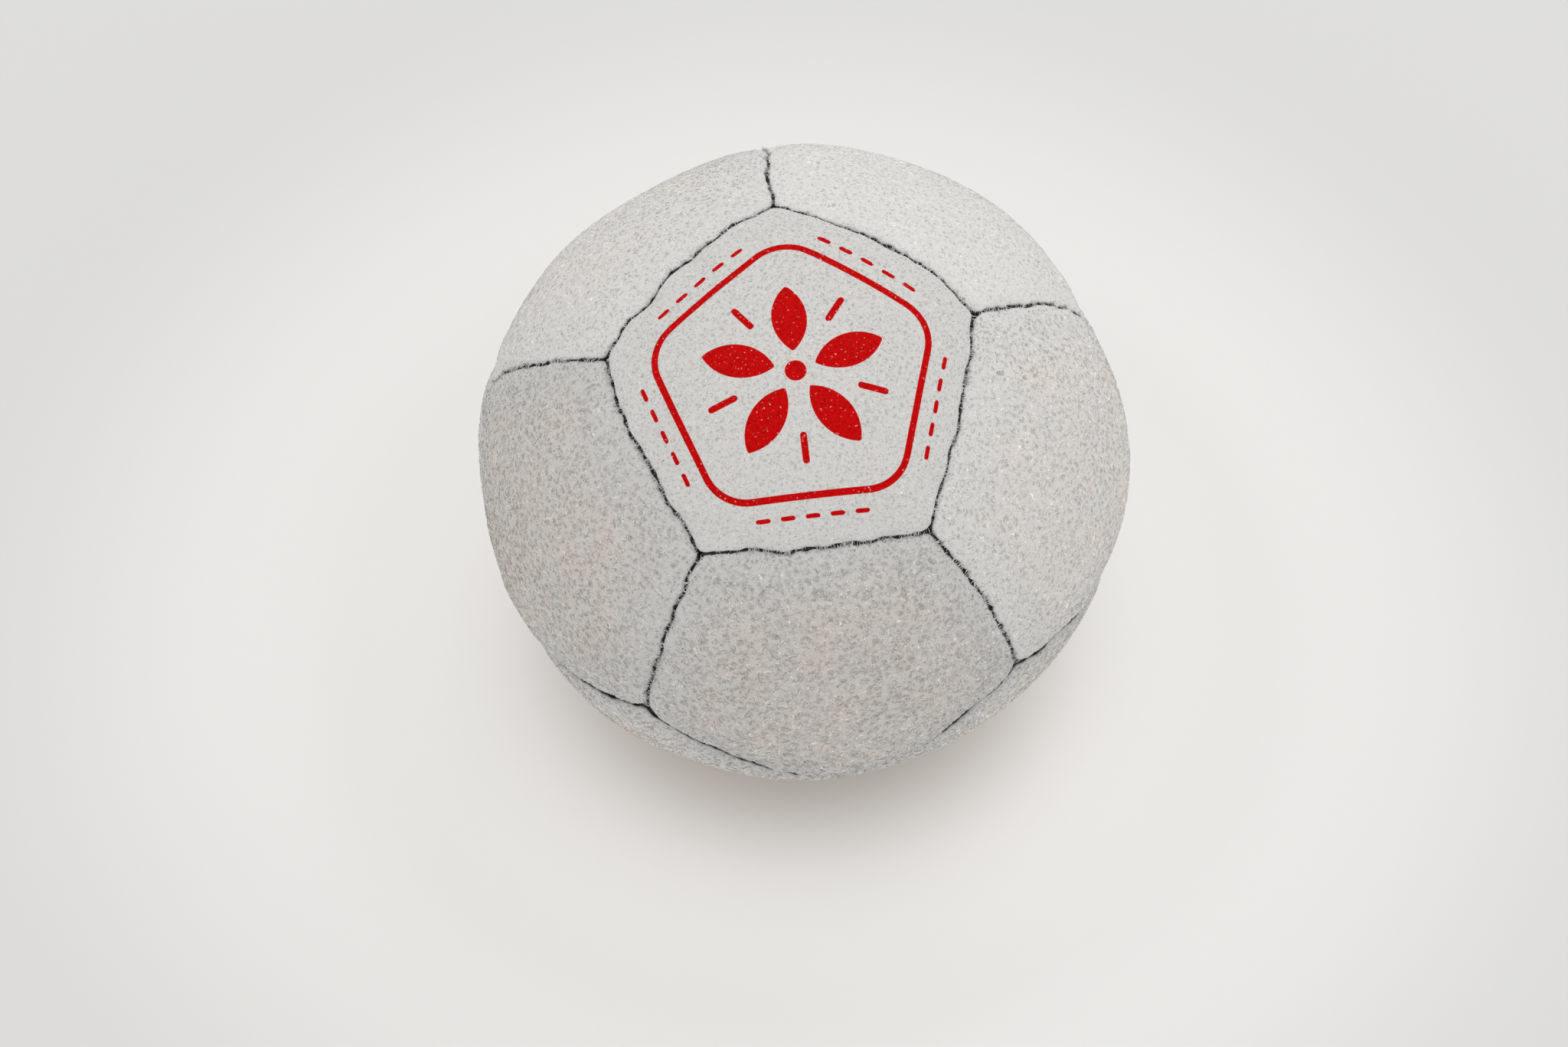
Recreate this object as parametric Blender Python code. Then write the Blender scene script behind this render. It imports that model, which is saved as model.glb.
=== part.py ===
"""A boccia ball: twelve suede panels sewn inside out, thirty seam threads and a filling.

The cover is a dodecahedron of five-sided panels blown up to a ball. Each panel folds in at its
edges and keeps a strip of seam allowance inside, against its neighbour's. A dark thread lies in
the groove of every seam, and plastic granulate fills the cover.

Every piece is worked out on a round ball about its own centre, and its points are then settled:
the filled ball slumps a little under its own weight and lies on a small flat patch. The floor is
z = 0, the rest patch is round the origin, and the printed panel leans towards -Y.
"""

import itertools
import math

import bmesh
import bpy
from mathutils import Matrix, Vector

# Driving dimensions, in metres
BALL_CIRCUMFERENCE = 0.270
LEATHER_THICKNESS = 0.0018
SEAM_ALLOWANCE = 0.0040  # leather that goes on inwards behind the fold
THREAD_DIAMETER = 0.0007
CLEARANCE = 0.0003
REST_PATCH_RADIUS = 0.008
SLUMP = 0.935  # height of the settled ball over its width

# How the ball lies, in degrees: turned about the printed panel, leaned over, then turned about Z
SPIN = 10.9
LEAN = 17.9
LEAN_TURN = -4.6

# Mesh steps
RING_POINTS = 20  # round a panel: a corner and an edge middle fall on every second one
DOME_RINGS = 3
FOLD_STEPS = 2
PATCH_REACH = 0.7  # the most of the way to the fold that the ring of the rest patch takes
THREAD_STEPS = 6
WELD_DISTANCE = 1e-6  # joins points that fall on the same place
SHARP_ANGLE = math.radians(50)

# What follows from the driving dimensions
BALL_RADIUS = BALL_CIRCUMFERENCE / math.tau
FOLD_RADIUS = LEATHER_THICKNESS
SEAM_HALF_GAP = CLEARANCE / 2
INNER_RADIUS = BALL_RADIUS - LEATHER_THICKNESS
FLANGE_TIP_RADIUS = INNER_RADIUS - SEAM_ALLOWANCE
WIDER = SLUMP ** (-1 / 3)
LOWER = SLUMP ** (2 / 3)
PATCH_ANGLE = math.asin(REST_PATCH_RADIUS / (BALL_RADIUS * WIDER))
FLOOR = -BALL_RADIUS * LOWER * math.cos(PATCH_ANGLE)

# Angles of a dodecahedron, seen from its centre
SIDES = 5
SECTOR = math.tau / SIDES
FACE_TO_FACE = math.atan(2)
FACE_TO_EDGE = FACE_TO_FACE / 2
HALF_EDGE = math.asin(2 / (math.sqrt(3) * (1 + math.sqrt(5))))
UPPER_TURN = math.radians(-90)  # of the first panel of each row, before the ball is turned
LOWER_TURN = UPPER_TURN + SECTOR / 2


def linear(hex_colour):
    """The linear colour, with alpha, of an sRGB hex value."""
    channels = [int(hex_colour[i : i + 2], 16) / 255 for i in (1, 3, 5)]
    straight = [c / 12.92 if c <= 0.04045 else ((c + 0.055) / 1.055) ** 2.4 for c in channels]
    return (*straight, 1.0)


def material(name, hex_colour, roughness):
    made = bpy.data.materials.new(name)
    made.use_nodes = True
    shader = made.node_tree.nodes["Principled BSDF"]
    shader.inputs["Base Color"].default_value = linear(hex_colour)
    shader.inputs["Roughness"].default_value = roughness
    shader.inputs["Metallic"].default_value = 0.0
    return made


def add_object(name, data, finish, parent):
    made = bpy.data.objects.new(name, data)
    data.materials.append(finish)
    made.parent = parent
    bpy.context.scene.collection.objects.link(made)
    return made


def settled(point):
    """Where a point of the round ball goes when the ball lies on the floor."""
    slumped = Vector((point.x * WIDER, point.y * WIDER, point.z * LOWER))
    outside = slumped * (BALL_RADIUS / point.length)
    pressed = max(0.0, FLOOR - outside.z)
    nearness = max(0.0, 2 * point.length / BALL_RADIUS - 1)
    return slumped + Vector((0, 0, pressed * nearness - FLOOR))


def panel_axes():
    """Each panel's name and the direction of its middle from the ball's centre."""
    lie = (
        Matrix.Rotation(math.radians(LEAN_TURN), 3, "Z")
        @ Matrix.Rotation(math.radians(LEAN), 3, "X")
        @ Matrix.Rotation(math.radians(SPIN), 3, "Z")
    )
    axes = {"panel_print": lie @ Vector((0, 0, 1))}
    for row, down, first in (
        ("panel_upper", FACE_TO_FACE, UPPER_TURN),
        ("panel_lower", math.pi - FACE_TO_FACE, LOWER_TURN),
    ):
        for number in range(SIDES):
            turn = first + number * SECTOR
            flat = Vector((math.cos(turn), math.sin(turn), 0))
            axes[f"{row}_{number + 1}"] = lie @ (flat * math.sin(down) + Vector((0, 0, math.cos(down))))
    axes["panel_base"] = lie @ Vector((0, 0, -1))
    return axes


def neighbours(axes):
    """The pairs of panels that share a seam, whose middles are on the same side of the ball."""
    return [(a, b) for a, b in itertools.combinations(axes, 2) if axes[a].dot(axes[b]) > 0]


def seam_names(pairs):
    """A plain name for each pair's seam, by the rows of panels that it joins."""
    rows = {
        ("print", "upper"): "seam_print_{}",
        ("upper", "upper"): "seam_upper_{}",
        ("upper", "lower"): "seam_middle_{:02d}",
        ("lower", "lower"): "seam_lower_{}",
        ("lower", "base"): "seam_base_{}",
    }
    named = {}
    for row, pattern in rows.items():
        joined = [pair for pair in pairs if tuple(panel.split("_")[1] for panel in pair) == row]
        for number, pair in enumerate(joined, 1):
            named[pattern.format(number)] = pair
    return named


class PanelFrame:
    """A panel's middle direction, the two directions across it, and the pole of its dome's rings."""

    def __init__(self, name, axes):
        self.axis = axes[name]
        beside = max((a for n, a in axes.items() if n != name), key=self.axis.dot)
        self.across = (beside - self.axis * self.axis.dot(beside)).normalized()
        self.up = self.axis.cross(self.across)
        self.rests = name == "panel_base"
        self.pole = Vector((0, 0, -1)) if self.rests else self.axis.copy()

    def edge_ring(self, inset, radius):
        """A ring this far inside the panel's seam planes, at this distance from the ball's centre."""
        slope = math.tan(FACE_TO_EDGE)
        shift = inset / math.cos(FACE_TO_EDGE)
        points = []
        for step in range(RING_POINTS):
            turn = math.tau * step / RING_POINTS
            off_middle = (turn + SECTOR / 2) % SECTOR - SECTOR / 2
            spread = 1 / math.cos(off_middle) ** 2
            square = 1 + spread * slope**2
            half = spread * shift * slope
            height = (half + math.sqrt(half**2 - square * (spread * shift**2 - radius**2))) / square
            reach = math.sqrt(spread) * (height * slope - shift)
            flat = self.across * math.cos(turn) + self.up * math.sin(turn)
            points.append(self.axis * height + flat * reach)
        return points

    def dome_rings(self, edge):
        """Rings from the edge ring to the pole, at the edge ring's distance from the centre."""
        rings = []
        for number in range(1, DOME_RINGS):
            ring = []
            for corner in edge:
                whole = self.pole.angle(corner)
                least = min(PATCH_ANGLE, whole * PATCH_REACH) if self.rests else whole / DOME_RINGS
                angle = whole + (least - whole) * number / (DOME_RINGS - 1)
                sideways = (corner.normalized() - self.pole * math.cos(whole)) / math.sin(whole)
                way = self.pole * math.cos(angle) + sideways * math.sin(angle)
                ring.append(way * corner.length)
            rings.append(ring)
        return rings


def add_ring(mesh, points):
    return [mesh.verts.new(settled(point)) for point in points]


def join_rings(mesh, first, second):
    """Triangles between two rings, all split the same way, so that nested domes stay parallel."""
    for step in range(RING_POINTS):
        after = (step + 1) % RING_POINTS
        mesh.faces.new((first[step], first[after], second[after]))
        mesh.faces.new((first[step], second[after], second[step]))


def join_pole(mesh, ring, pole):
    for step in range(RING_POINTS):
        mesh.faces.new((ring[step], ring[(step + 1) % RING_POINTS], pole))


def finish_mesh(mesh, name):
    bmesh.ops.recalc_face_normals(mesh, faces=mesh.faces)
    data = bpy.data.meshes.new(name)
    mesh.to_mesh(data)
    mesh.free()
    data.shade_smooth()
    data.set_sharp_from_angle(angle=SHARP_ANGLE)
    return data


def panel_mesh(name, frame):
    """A leather panel: the dome outside, the fold, the seam allowance, and the dome's inside."""
    folded = []
    for step in range(FOLD_STEPS + 1):
        bend = math.pi / 2 * step / FOLD_STEPS
        inset = SEAM_HALF_GAP + FOLD_RADIUS * (1 - math.sin(bend))
        folded.append(frame.edge_ring(inset, BALL_RADIUS - FOLD_RADIUS * (1 - math.cos(bend))))
    back = SEAM_HALF_GAP + LEATHER_THICKNESS
    inside_edge = frame.edge_ring(back, INNER_RADIUS)
    rings = frame.dome_rings(folded[0])[::-1] + folded
    rings.append(frame.edge_ring(SEAM_HALF_GAP, FLANGE_TIP_RADIUS))
    rings.append(frame.edge_ring(back, FLANGE_TIP_RADIUS))
    rings.append(inside_edge)
    rings += frame.dome_rings(inside_edge)
    mesh = bmesh.new()
    loops = [add_ring(mesh, ring) for ring in rings]
    join_pole(mesh, loops[0], mesh.verts.new(settled(frame.pole * BALL_RADIUS)))
    for first, second in zip(loops, loops[1:]):
        join_rings(mesh, first, second)
    join_pole(mesh, loops[-1], mesh.verts.new(settled(frame.pole * INNER_RADIUS)))
    return finish_mesh(mesh, name)


def filling_mesh(name, frames):
    """The granulate as one body: a dome behind each panel and grooves for the seam allowances."""
    top_radius = INNER_RADIUS - CLEARANCE
    groove_radius = FLANGE_TIP_RADIUS - CLEARANCE
    inset = SEAM_HALF_GAP + LEATHER_THICKNESS + CLEARANCE
    mesh = bmesh.new()
    for frame in frames.values():
        dome_edge = frame.edge_ring(inset, top_radius)
        rings = [frame.edge_ring(0, groove_radius), frame.edge_ring(inset, groove_radius), dome_edge]
        rings += frame.dome_rings(dome_edge)
        loops = [add_ring(mesh, ring) for ring in rings]
        for first, second in zip(loops, loops[1:]):
            join_rings(mesh, first, second)
        join_pole(mesh, loops[-1], mesh.verts.new(settled(frame.pole * top_radius)))
    bmesh.ops.remove_doubles(mesh, verts=mesh.verts, dist=WELD_DISTANCE)
    return finish_mesh(mesh, name)


def thread_curve(name, axes, pair):
    """A seam's thread, lying where it just clears both rounded folds, short of the junctions."""
    first, second = (axes[panel] for panel in pair)
    middle = (first + second).normalized()
    along = first.cross(second).normalized()
    reach = FOLD_RADIUS + THREAD_DIAMETER / 2 + SEAM_HALF_GAP
    height = math.sqrt(reach**2 - FOLD_RADIUS**2)
    radius = BALL_RADIUS - FOLD_RADIUS + height
    half = HALF_EDGE - (THREAD_DIAMETER / 2 + CLEARANCE) / radius
    curve = bpy.data.curves.new(name, "CURVE")
    curve.dimensions = "3D"
    curve.bevel_depth = THREAD_DIAMETER / 2
    curve.bevel_resolution = 1
    curve.use_fill_caps = True
    spline = curve.splines.new("POLY")
    spline.points.add(THREAD_STEPS)
    for number, point in enumerate(spline.points):
        turn = half * (2 * number / THREAD_STEPS - 1)
        place = settled((middle * math.cos(turn) + along * math.sin(turn)) * radius)
        point.co = (*place, 1.0)
    spline.use_smooth = True
    return curve


def build():
    for old in list(bpy.data.objects):
        bpy.data.objects.remove(old, do_unlink=True)
    suede = material("pale_grey_suede", "#CBC8C4", 0.95)
    printed = material("printed_suede", "#CBC9C4", 0.9)
    thread = material("charcoal_thread", "#2B2A2D", 0.8)
    granulate = material("plastic_granulate", "#D9D4C6", 0.5)
    ball = bpy.data.objects.new("ball_centre", None)
    bpy.context.scene.collection.objects.link(ball)
    axes = panel_axes()
    frames = {name: PanelFrame(name, axes) for name in axes}
    for name, frame in frames.items():
        add_object(name, panel_mesh(name, frame), printed if name == "panel_print" else suede, ball)
    for name, pair in seam_names(neighbours(axes)).items():
        add_object(name, thread_curve(name, axes, pair), thread, ball)
    add_object("granule_fill", filling_mesh("granule_fill", frames), granulate, ball)


build()
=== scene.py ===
# %% [markdown]
# # A sewn suede ball
#
# The object is a boccia ball: twelve five-sided panels of pale suede, sewn inside out like a
# dodecahedron, turned, and stuffed with plastic granulate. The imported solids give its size, the place
# of each panel and seam, and the floor. This lesson makes the surfaces that the eye meets: the crowned
# panels with their turned-in edges, the dark stitching in the grooves, the short nap of the suede, the
# red print on one panel, and the loose granulate inside.

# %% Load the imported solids
import math

import bmesh
import bpy
import numpy as np
from mathutils import Matrix, Vector, kdtree, noise


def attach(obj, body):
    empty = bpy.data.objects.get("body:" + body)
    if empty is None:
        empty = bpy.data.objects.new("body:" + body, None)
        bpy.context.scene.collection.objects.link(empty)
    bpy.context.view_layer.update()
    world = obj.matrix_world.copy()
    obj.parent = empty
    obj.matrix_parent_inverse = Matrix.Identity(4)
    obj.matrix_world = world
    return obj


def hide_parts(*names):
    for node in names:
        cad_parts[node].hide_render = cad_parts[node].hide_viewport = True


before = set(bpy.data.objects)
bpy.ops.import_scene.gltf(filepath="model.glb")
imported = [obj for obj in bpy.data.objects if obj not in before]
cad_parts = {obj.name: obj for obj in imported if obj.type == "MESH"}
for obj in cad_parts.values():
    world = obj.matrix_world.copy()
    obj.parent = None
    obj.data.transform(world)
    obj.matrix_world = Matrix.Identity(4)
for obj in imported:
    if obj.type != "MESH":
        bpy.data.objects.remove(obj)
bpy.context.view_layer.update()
MM = 0.001

# %% [markdown]
# ## How the ball lies
#
# A ball of this sport measures 270 mm round. Filled with loose granulate it slumps a little, so it is
# wider than it is high, and it lies on a small flat patch. Three angles, in degrees, turn the printed
# panel up and towards the viewer. They are the same values that the solids were made with, because every
# new piece has to sit where its solid sits.

# %% The ball's size and lie
BALL_RADIUS = 270 * MM / math.tau
SLUMP = 0.935
REST_PATCH_RADIUS = 8 * MM
SPIN, LEAN, LEAN_TURN = 10.9, 17.9, -4.6
LEATHER = 1.8 * MM
SEAM_ALLOWANCE = 4 * MM

WIDER = SLUMP ** (-1 / 3)
LOWER = SLUMP ** (2 / 3)
CENTRE_HEIGHT = BALL_RADIUS * LOWER * math.sqrt(1 - (REST_PATCH_RADIUS / (BALL_RADIUS * WIDER)) ** 2)
LIE = (
    Matrix.Rotation(math.radians(LEAN_TURN), 3, "Z")
    @ Matrix.Rotation(math.radians(LEAN), 3, "X")
    @ Matrix.Rotation(math.radians(SPIN), 3, "Z")
)


def settle(points):
    """Slumps points of the round ball, presses its lowest part flat and stands it on the floor."""
    radius = np.linalg.norm(points, axis=1, keepdims=True)
    slumped = points * (WIDER, WIDER, LOWER)
    outside = slumped[:, 2:] * BALL_RADIUS / radius
    pressed = np.maximum(0, -CENTRE_HEIGHT - outside)
    nearness = np.clip(2 * radius / BALL_RADIUS - 1, 0, 1)
    slumped[:, 2:] += pressed * nearness + CENTRE_HEIGHT
    return slumped


ball_centre = np.array((0.0, 0.0, CENTRE_HEIGHT))

# %% [markdown]
# ## Where the panels and seams are
#
# A dodecahedron has a face on top, a ring of five round it, five more below and one at the bottom. Each
# panel gets a turn that carries a model panel, made once round +Z with a corner towards +Y, to its
# place. Two panels are neighbours when their middles are on the same side of the ball, and each pair
# of neighbours shares a seam.

# %% Panel axes, panel turns and seams
SIDES = 5
SECTOR = math.tau / SIDES
FACE_TO_FACE = math.atan(2)
FACE_TO_EDGE = FACE_TO_FACE / 2
HALF_EDGE = math.asin(2 / (math.sqrt(3) * (1 + math.sqrt(5))))
CORNER_TURN = math.radians(90)
EDGE_TURN = CORNER_TURN - SECTOR / 2


def on_ball(down, turn):
    """The direction this far down from +Z and this far round from +X."""
    return Vector((math.sin(down) * math.cos(turn), math.sin(down) * math.sin(turn), math.cos(down)))


axes = {"panel_print": LIE @ on_ball(0, 0)}
for number in range(SIDES):
    axes[f"panel_upper_{number + 1}"] = LIE @ on_ball(FACE_TO_FACE, number * SECTOR - CORNER_TURN)
for number in range(SIDES):
    turn = number * SECTOR - CORNER_TURN + SECTOR / 2
    axes[f"panel_lower_{number + 1}"] = LIE @ on_ball(math.pi - FACE_TO_FACE, turn)
axes["panel_base"] = LIE @ on_ball(math.pi, 0)


def panel_turn(name):
    """The rotation that carries the model panel to this panel's place."""
    axis = axes[name]
    if name == "panel_print":
        return LIE.copy()
    beside = max((other for key, other in axes.items() if key != name), key=axis.dot)
    across = (beside - axis * axis.dot(beside)).normalized()
    to_place = Matrix((across, axis.cross(across), axis)).transposed()
    return to_place @ Matrix.Rotation(-EDGE_TURN, 3, "Z")


turns = {name: panel_turn(name) for name in axes}
names = list(axes)
seams = [(a, b) for i, a in enumerate(names) for b in names[i + 1 :] if axes[a].dot(axes[b]) > 0]
print("panels:", len(axes), "seams:", len(seams))

# %% [markdown]
# ## Colours and nodes
#
# Colours are written as the sRGB values one would pick from a screen, and turned to the linear values
# that the renderer adds up. One small function adds a shader node, sets it and links it.

# %% Helpers for materials


def linear(hex_colour):
    """The linear colour, with alpha, of an sRGB hex value."""
    channels = [int(hex_colour[i : i + 2], 16) / 255 for i in (1, 3, 5)]
    return (*[c / 12.92 if c <= 0.04045 else ((c + 0.055) / 1.055) ** 2.4 for c in channels], 1.0)


def add_node(tree, kind, settings, links):
    """Adds a node, sets its properties, and gives each named or numbered input a value or a link."""
    node = tree.nodes.new(kind)
    for key, value in settings.items():
        setattr(node, key, value)
    for key, value in links.items():
        if isinstance(value, bpy.types.NodeSocket):
            tree.links.new(value, node.inputs[key])
        else:
            node.inputs[key].default_value = value
    return node


def new_material(name):
    """A material with nothing but a Principled shader, and its node tree and shader."""
    made = bpy.data.materials.new(name)
    made.use_nodes = True
    return made, made.node_tree, made.node_tree.nodes["Principled BSDF"]


# %% [markdown]
# ## The suede
#
# Suede is the flesh side of a hide, sanded until its fibres stand up as a short nap. It scatters light
# with almost no shine and has a faint bright edge where the nap is seen side on, which is sheen. The
# leather is tawed to a pale grey. Along a seam it is stretched and looks cooler; in the middle of a panel
# the nap is open, and warmer in soft patches. Numbers stored on the mesh drive all of this: the distance
# to the nearest seam, the panel's own tone and coolness, which carry painted light as well, the depth in
# the groove, which sets the groove's painted shade, and for the print the distance to the edge of the ink,
# which is rubbed off in specks. One function makes the materials of the hide and of the fibres on it, so
# that their colours agree.

# %% Colour of the hide
COOL_SUEDE = "#ECEBE9"
WARM_SUEDE = "#F3EAE4"
STRETCHED_MM, OPEN_MM = 0.5, 9.0
STRETCHED_COOLS = -0.3
OPEN_WARMS = 0.5
PATCH_SIZE = 5 * MM
PATCH_STRENGTH = 1.6
PATCH_LEVEL = 0.7
# Real roots are finer than this. They are drawn as coarse as they need to show.
ROOT_SIZE = 0.3 * MM
ROOT_TONES = (0.85, 1.1)


def hide_colour(tree, place, printed):
    """The leather's colour before its tone: cool where it is stretched, warm in soft open patches."""
    seam = add_node(tree, "ShaderNodeAttribute", {"attribute_name": "seam_mm"}, {}).outputs["Fac"]
    cool = add_node(tree, "ShaderNodeAttribute", {"attribute_name": "cool"}, {}).outputs["Fac"]
    patches = add_node(
        tree, "ShaderNodeTexNoise", {}, {"Vector": place, "Scale": 1 / PATCH_SIZE, "Detail": 2.0}
    ).outputs["Fac"]
    openness = add_node(
        tree,
        "ShaderNodeMapRange",
        {"interpolation_type": "SMOOTHSTEP"},
        {
            "Value": seam,
            "From Min": STRETCHED_MM,
            "From Max": OPEN_MM,
            "To Min": STRETCHED_COOLS,
            "To Max": 0.0 if printed else OPEN_WARMS,
        },
    ).outputs["Result"]
    patchy = add_node(
        tree, "ShaderNodeMath", {"operation": "MULTIPLY_ADD"}, {0: patches, 1: PATCH_STRENGTH, 2: openness}
    ).outputs[0]
    # The panel's coolness is partly painted light: panels facing the lamps are drawn cooler, shaded ones
    # warmer.
    chill = add_node(tree, "ShaderNodeMath", {"operation": "ADD"}, {0: cool, 1: PATCH_LEVEL}).outputs[0]
    warmth = add_node(
        tree, "ShaderNodeMath", {"operation": "SUBTRACT", "use_clamp": True}, {0: patchy, 1: chill}
    ).outputs[0]
    return add_node(
        tree,
        "ShaderNodeMix",
        {"data_type": "RGBA"},
        {"Factor": warmth, 6: linear(COOL_SUEDE), 7: linear(WARM_SUEDE)},
    ).outputs[2]


def rooted_tone(tree, place, tone):
    """The tone of the bare hide, darker and lighter between the roots of the fibres."""
    roots = add_node(
        tree,
        "ShaderNodeTexNoise",
        {},
        {"Vector": place, "Scale": 1 / ROOT_SIZE, "Detail": 3.0, "Roughness": 0.6, "Distortion": 1.5},
    ).outputs["Fac"]
    gaps = add_node(
        tree,
        "ShaderNodeMapRange",
        {},
        {"Value": roots, "From Min": 0.3, "From Max": 0.7, "To Min": ROOT_TONES[0], "To Max": ROOT_TONES[1]},
    ).outputs["Result"]
    return add_node(tree, "ShaderNodeMath", {"operation": "MULTIPLY"}, {0: tone, 1: gaps}).outputs[0]


# %% Ink, and the painted shade of the groove
INK_RED = "#DC0809"
INK_BLUR_MM = 0.04
RUB_SIZE = 0.35 * MM
RUB_FROM, RUB_TO = 0.67, 0.73
INK_LEFT = 0.3
GROOVE_PAINTED_SHADE = "#161517"
GROOVE_FROM_MM, GROOVE_TO_MM = 0.22, 0.5


def inked(tree, place, tone, colour):
    """The colour with the red ink on it, which is rubbed off in specks."""
    edge = add_node(tree, "ShaderNodeAttribute", {"attribute_name": "ink_mm"}, {}).outputs["Fac"]
    ink = add_node(
        tree,
        "ShaderNodeMapRange",
        {},
        {"Value": edge, "From Min": -INK_BLUR_MM, "From Max": INK_BLUR_MM, "To Min": 1.0, "To Max": 0.0},
    ).outputs["Result"]
    rubbed = add_node(
        tree, "ShaderNodeTexNoise", {}, {"Vector": place, "Scale": 1 / RUB_SIZE, "Detail": 2.0}
    ).outputs["Fac"]
    kept = add_node(
        tree,
        "ShaderNodeMapRange",
        {},
        {"Value": rubbed, "From Min": RUB_FROM, "From Max": RUB_TO, "To Min": 1.0, "To Max": INK_LEFT},
    ).outputs["Result"]
    ink = add_node(tree, "ShaderNodeMath", {"operation": "MULTIPLY"}, {0: ink, 1: kept}).outputs[0]
    red = add_node(
        tree, "ShaderNodeVectorMath", {"operation": "SCALE"}, {0: linear(INK_RED)[:3], "Scale": tone}
    ).outputs[0]
    return add_node(
        tree, "ShaderNodeMix", {"data_type": "RGBA"}, {"Factor": ink, 6: colour, 7: red}
    ).outputs[2]


def grooved(tree, colour):
    """The colour, and nearly black where the leather turns down into the groove: painted shade of the narrow
    crack.
    """
    depth = add_node(tree, "ShaderNodeAttribute", {"attribute_name": "depth_and_shade_mm"}, {}).outputs["Fac"]
    dark = add_node(
        tree,
        "ShaderNodeMapRange",
        {"interpolation_type": "SMOOTHSTEP"},
        {"Value": depth, "From Min": GROOVE_FROM_MM, "From Max": GROOVE_TO_MM},
    ).outputs["Result"]
    return add_node(
        tree,
        "ShaderNodeMix",
        {"data_type": "RGBA"},
        {"Factor": dark, 6: colour, 7: linear(GROOVE_PAINTED_SHADE)},
    ).outputs[2]


# %% Suede materials
# The grain, too, is drawn coarser than it really is, so that it shows.
GRAIN_SIZE = 0.3 * MM
GRAIN_HEIGHT = 0.15 * MM


def suede(name, fibres, printed):
    """Napped suede for a panel, or for the fibres on it, with or without the red print."""
    made, tree, shader = new_material(name)
    place = add_node(tree, "ShaderNodeTexCoord", {}, {}).outputs["Object"]
    hide = hide_colour(tree, place, printed)
    tone = add_node(tree, "ShaderNodeAttribute", {"attribute_name": "tone"}, {}).outputs["Fac"]
    if not fibres:
        tone = rooted_tone(tree, place, tone)
    colour = add_node(
        tree, "ShaderNodeVectorMath", {"operation": "SCALE"}, {0: hide, "Scale": tone}
    ).outputs[0]
    if printed:
        colour = inked(tree, place, tone, colour)
    if not fibres:
        colour = grooved(tree, colour)
        grain = add_node(
            tree, "ShaderNodeTexNoise", {}, {"Vector": place, "Scale": 1 / GRAIN_SIZE, "Detail": 3.0}
        ).outputs["Fac"]
        bump = add_node(
            tree, "ShaderNodeBump", {}, {"Height": grain, "Strength": 0.6, "Distance": GRAIN_HEIGHT}
        ).outputs["Normal"]
        tree.links.new(bump, shader.inputs["Normal"])
    tree.links.new(colour, shader.inputs["Base Color"])
    shader.inputs["Roughness"].default_value = 0.95
    shader.inputs["Specular IOR Level"].default_value = 0.04 if printed else 0.15
    shader.inputs["Sheen Weight"].default_value = 0.02 if printed else 0.08
    shader.inputs["Sheen Roughness"].default_value = 0.6
    return made


hide_plain = suede("tawed_suede_hide", False, False)
hide_printed = suede("printed_suede_hide", False, True)
nap_plain = suede("tawed_suede_nap", True, False)
nap_printed = suede("printed_suede_nap", True, True)
print("suede materials:", hide_plain.name, hide_printed.name, nap_plain.name, nap_printed.name)

# %% [markdown]
# ## One panel, made once
#
# A panel is cut flat as a pentagon, and the stuffing blows it up to part of a ball. So the model starts
# as a five-cornered circle of triangles, is subdivided, and a Cast modifier carries it out to a sphere;
# straight edges become great circles, which is just how a seam runs. Then the rim is extruded inwards
# for the seam allowance, and the fold between them is bevelled to the round that thick leather takes.
# A crease keeps the corners while a Subdivision Surface smooths the rest. The fold then gets closer
# points for the marks of the stitches, and a few more extrusions close the back.

# %% The sides and corners of the model panel
UP = np.array((0.0, 0.0, 1.0))
side_turns = EDGE_TURN + SECTOR * np.arange(SIDES)
side_ways = np.column_stack((np.cos(side_turns), np.sin(side_turns), np.zeros(SIDES)))
side_inwards = math.sin(FACE_TO_EDGE) * UP - math.cos(FACE_TO_EDGE) * side_ways
side_middles = math.cos(FACE_TO_EDGE) * UP + math.sin(FACE_TO_EDGE) * side_ways
side_tangents = np.cross(UP, side_ways)
FACE_TO_CORNER = math.acos(math.cos(FACE_TO_EDGE) * math.cos(HALF_EDGE))
corner_ways = np.array([on_ball(FACE_TO_CORNER, CORNER_TURN + i * SECTOR) for i in range(SIDES)])
reaches = [round(angle * BALL_RADIUS / MM, 1) for angle in (FACE_TO_EDGE, FACE_TO_CORNER)]
print("from the middle to a side and to a corner in mm:", reaches)


def from_side(vertex):
    """How far this vertex is from the nearest side of the model panel, seen from the ball's centre."""
    return math.asin(float((side_inwards @ vertex.co.normalized()).min())) * BALL_RADIUS


def from_corner_way(vertex):
    """How far this vertex is from the nearest corner of the model panel, seen from the ball's centre."""
    return math.acos(min(1.0, float((corner_ways @ vertex.co.normalized()).max()))) * BALL_RADIUS


# %% The flat pentagon, blown up
RIM_CUTS = 7
SEAM_GAP = -0.06 * MM
FOLD = 0.7 * MM


def only(obj):
    """Makes this the one selected and active object."""
    bpy.ops.object.select_all(action="DESELECT")
    obj.select_set(True)
    bpy.context.view_layer.objects.active = obj


def apply_modifier(obj, kind, **settings):
    """Adds a modifier with these settings and applies it at once."""
    only(obj)
    modifier = obj.modifiers.new(kind.title(), kind)
    for key, value in settings.items():
        setattr(modifier, key, value)
    bpy.ops.object.modifier_apply(modifier=modifier.name)


def edit_selected(obj, wanted):
    """Enters edit mode with just those edges selected for which wanted(edge) is true."""
    only(obj)
    bpy.ops.object.mode_set(mode="EDIT")
    bpy.ops.mesh.select_mode(type="EDGE")
    bpy.ops.mesh.select_all(action="DESELECT")
    mesh = bmesh.from_edit_mesh(obj.data)
    for edge in mesh.edges:
        edge.select = wanted(edge)
    mesh.select_flush_mode()
    bmesh.update_edit_mesh(obj.data)


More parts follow.
